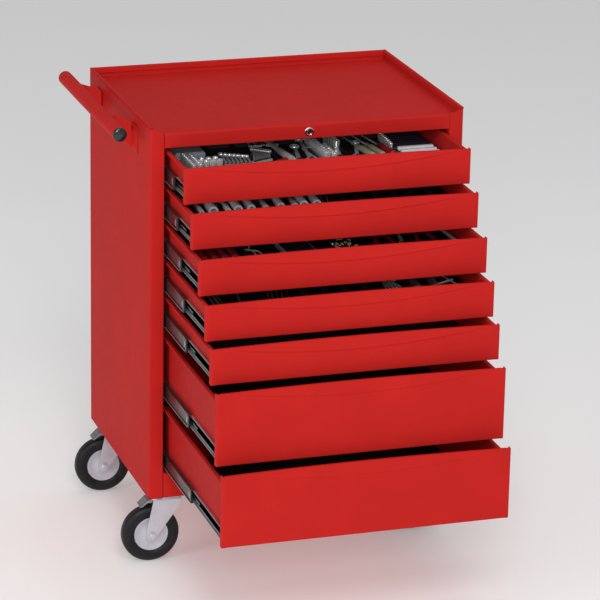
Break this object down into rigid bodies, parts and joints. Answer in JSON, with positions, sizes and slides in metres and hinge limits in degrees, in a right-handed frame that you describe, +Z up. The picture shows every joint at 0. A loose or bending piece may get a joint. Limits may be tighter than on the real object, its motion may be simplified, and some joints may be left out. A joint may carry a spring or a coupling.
{
  "type": "rolling tool chest",
  "caption": "Wheeled sheet-steel tool cabinet with sliding drawers, a lipped tray top, a side push handle, a central lock and braked swivel casters.",
  "frame": {"origin": "on the floor, under the middle of the whole object as it stands with its drawers partly open", "axes": "+Z up, +X to the right of someone facing the drawers, -Y towards that person, the way the drawers open"},
  "size_m": [0.752, 0.9262, 0.971],
  "materials": {
    "red_paint": "semi-gloss powder coat with a fine orange peel",
    "red_paint_inside": "satin powder coat",
    "zinc_slide": "bright zinc-plated rolled strip",
    "zinc_caster": "satin zinc-plated pressing",
    "pedal_steel": "dull plated steel",
    "chrome": "polished chrome",
    "tyre": "matte moulded rubber",
    "rim_plastic": "light grey moulded plastic",
    "black_plastic": "moulded black plastic",
    "tray_plastic": "black vacuum-formed tool tray",
    "tool_chrome": "satin chrome hand tools",
    "tool_grip_red": "red moulded handle",
    "tool_pouch_grey": "grey moulded case",
    "drawer_mat": "black ribbed rubber mat"
  },
  "bodies": {
    "cabinet": {"back_panel": "red_paint", "base_panel": "red_paint", "front_header": "red_paint", "handle_bracket_front": "red_paint", "handle_bracket_rear": "red_paint", "handle_plug_front": "black_plastic", "handle_plug_rear": "black_plastic", "handle_tube": "red_paint", "left_side_panel": "red_paint", "lock_barrel": "chrome", "right_side_panel": "red_paint", "slide_rack_left": "zinc_slide", "slide_rack_right": "zinc_slide", "top_tray": "red_paint", "caster_front_left_plate": "zinc_caster", "caster_front_right_bracket": "zinc_caster", "caster_rear_left_plate": "zinc_caster", "caster_rear_right_bracket": "zinc_caster"},
    "drawer_1": {"drawer_1_front": "red_paint", "drawer_1_box": "red_paint_inside"},
    "drawer_2": {"drawer_2_front": "red_paint", "drawer_2_box": "red_paint_inside"},
    "drawer_3": {"drawer_3_front": "red_paint", "drawer_3_box": "red_paint_inside"},
    "drawer_4": {"drawer_4_front": "red_paint", "drawer_4_box": "red_paint_inside"},
    "drawer_5": {"drawer_5_front": "red_paint", "drawer_5_box": "red_paint_inside"},
    "drawer_6": {"drawer_6_front": "red_paint", "drawer_6_box": "red_paint_inside"},
    "drawer_7": {"drawer_7_front": "red_paint", "drawer_7_box": "red_paint_inside"},
    "slides_1": {"slide_middle_left_1": "zinc_slide", "slide_middle_right_1": "zinc_slide"},
    "slides_2": {"slide_middle_left_2": "zinc_slide", "slide_middle_right_2": "zinc_slide"},
    "slides_3": {"slide_middle_left_3": "zinc_slide", "slide_middle_right_3": "zinc_slide"},
    "slides_4": {"slide_middle_left_4": "zinc_slide", "slide_middle_right_4": "zinc_slide"},
    "slides_5": {"slide_middle_left_5": "zinc_slide", "slide_middle_right_5": "zinc_slide"},
    "slides_6": {"slide_middle_left_6": "zinc_slide", "slide_middle_right_6": "zinc_slide"},
    "slides_7": {"slide_middle_left_7": "zinc_slide", "slide_middle_right_7": "zinc_slide"},
    "lock_core": {"lock_core": "chrome"},
    "lock_bar": {"lock_bar": "zinc_slide"},
    "swivel_front_left": {"caster_front_left_fork": "zinc_caster"},
    "wheel_front_left": {"caster_front_left_rim": "rim_plastic", "caster_front_left_tyre": "tyre"},
    "brake_front_left": {"caster_front_left_brake_pedal": "pedal_steel"},
    "swivel_rear_left": {"caster_rear_left_fork": "zinc_caster"},
    "wheel_rear_left": {"caster_rear_left_rim": "rim_plastic", "caster_rear_left_tyre": "tyre"},
    "brake_rear_left": {"caster_rear_left_brake_pedal": "pedal_steel"},
    "wheel_front_right": {"caster_front_right_rim": "rim_plastic", "caster_front_right_tyre": "tyre"},
    "wheel_rear_right": {"caster_rear_right_rim": "rim_plastic", "caster_rear_right_tyre": "tyre"}
  },
  "joints": [
    {"name": "drawer_1_slide", "type": "slide", "parent": "cabinet", "child": "drawer_1", "axis": [0, -1, 0], "range_m": [-0.13975, 0.29025]},
    {"name": "drawer_2_slide", "type": "slide", "parent": "cabinet", "child": "drawer_2", "axis": [0, -1, 0], "range_m": [-0.19307, 0.23693]},
    {"name": "drawer_3_slide", "type": "slide", "parent": "cabinet", "child": "drawer_3", "axis": [0, -1, 0], "range_m": [-0.25112, 0.17888]},
    {"name": "drawer_4_slide", "type": "slide", "parent": "cabinet", "child": "drawer_4", "axis": [0, -1, 0], "range_m": [-0.30014, 0.12986]},
    {"name": "drawer_5_slide", "type": "slide", "parent": "cabinet", "child": "drawer_5", "axis": [0, -1, 0], "range_m": [-0.33884, 0.09116]},
    {"name": "drawer_6_slide", "type": "slide", "parent": "cabinet", "child": "drawer_6", "axis": [0, -1, 0], "range_m": [-0.38098, 0.04902]},
    {"name": "drawer_7_slide", "type": "slide", "parent": "cabinet", "child": "drawer_7", "axis": [0, -1, 0], "range_m": [-0.42613, 0.00387]},
    {"name": "slides_1_slide", "type": "slide", "parent": "cabinet", "child": "slides_1", "axis": [0, -1, 0], "range_m": [-0.06998, 0.14522]},
    {"name": "slides_2_slide", "type": "slide", "parent": "cabinet", "child": "slides_2", "axis": [0, -1, 0], "range_m": [-0.09663, 0.11857]},
    {"name": "slides_3_slide", "type": "slide", "parent": "cabinet", "child": "slides_3", "axis": [0, -1, 0], "range_m": [-0.12566, 0.08954]},
    {"name": "slides_4_slide", "type": "slide", "parent": "cabinet", "child": "slides_4", "axis": [0, -1, 0], "range_m": [-0.15017, 0.06503]},
    {"name": "slides_5_slide", "type": "slide", "parent": "cabinet", "child": "slides_5", "axis": [0, -1, 0], "range_m": [-0.16952, 0.04568]},
    {"name": "slides_6_slide", "type": "slide", "parent": "cabinet", "child": "slides_6", "axis": [0, -1, 0], "range_m": [-0.19059, 0.02461]},
    {"name": "slides_7_slide", "type": "slide", "parent": "cabinet", "child": "slides_7", "axis": [0, -1, 0], "range_m": [-0.21316, 0.00204]},
    {"name": "lock_turn", "type": "hinge", "parent": "cabinet", "child": "lock_core", "pos_m": [0.036, -0.02694, 0.94], "axis": [0, 1, 0], "range_deg": [0, 90]},
    {"name": "lock_bar_slide", "type": "slide", "parent": "cabinet", "child": "lock_bar", "axis": [0, 0, -1], "range_m": [0, 0.009]},
    {"name": "swivel_front_left_turn", "type": "hinge", "parent": "cabinet", "child": "swivel_front_left", "pos_m": [-0.252, 0.00806, 0.14], "axis": [0, 0, 1], "continuous": true},
    {"name": "wheel_front_left_spin", "type": "hinge", "parent": "swivel_front_left", "child": "wheel_front_left", "pos_m": [-0.29, 0.00806, 0.0625], "axis": [0, 1, 0], "continuous": true},
    {"name": "brake_front_left_lift", "type": "hinge", "parent": "swivel_front_left", "child": "brake_front_left", "pos_m": [-0.288, 0.00806, 0.142], "axis": [0, 1, 0], "range_deg": [0, 18]},
    {"name": "swivel_rear_left_turn", "type": "hinge", "parent": "cabinet", "child": "swivel_rear_left", "pos_m": [-0.252, 0.41807, 0.14], "axis": [0, 0, 1], "continuous": true},
    {"name": "wheel_rear_left_spin", "type": "hinge", "parent": "swivel_rear_left", "child": "wheel_rear_left", "pos_m": [-0.29, 0.41807, 0.0625], "axis": [0, 1, 0], "continuous": true},
    {"name": "brake_rear_left_lift", "type": "hinge", "parent": "swivel_rear_left", "child": "brake_rear_left", "pos_m": [-0.288, 0.41807, 0.142], "axis": [0, 1, 0], "range_deg": [0, 18]},
    {"name": "wheel_front_right_spin", "type": "hinge", "parent": "cabinet", "child": "wheel_front_right", "pos_m": [0.31, 0.02706, 0.0625], "axis": [0, 1, 0], "continuous": true},
    {"name": "wheel_rear_right_spin", "type": "hinge", "parent": "cabinet", "child": "wheel_rear_right", "pos_m": [0.31, 0.39907, 0.0625], "axis": [0, 1, 0], "continuous": true}
  ],
  "couplings": [
    {"joint": "slides_1_slide", "follows": "drawer_1_slide", "ratio": 0.5},
    {"joint": "slides_2_slide", "follows": "drawer_2_slide", "ratio": 0.5},
    {"joint": "slides_3_slide", "follows": "drawer_3_slide", "ratio": 0.5},
    {"joint": "slides_4_slide", "follows": "drawer_4_slide", "ratio": 0.5},
    {"joint": "slides_5_slide", "follows": "drawer_5_slide", "ratio": 0.5},
    {"joint": "slides_6_slide", "follows": "drawer_6_slide", "ratio": 0.5},
    {"joint": "slides_7_slide", "follows": "drawer_7_slide", "ratio": 0.5},
    {"joint": "lock_turn", "follows": "lock_bar_slide", "rad_per_m": 174.53}
  ]
}
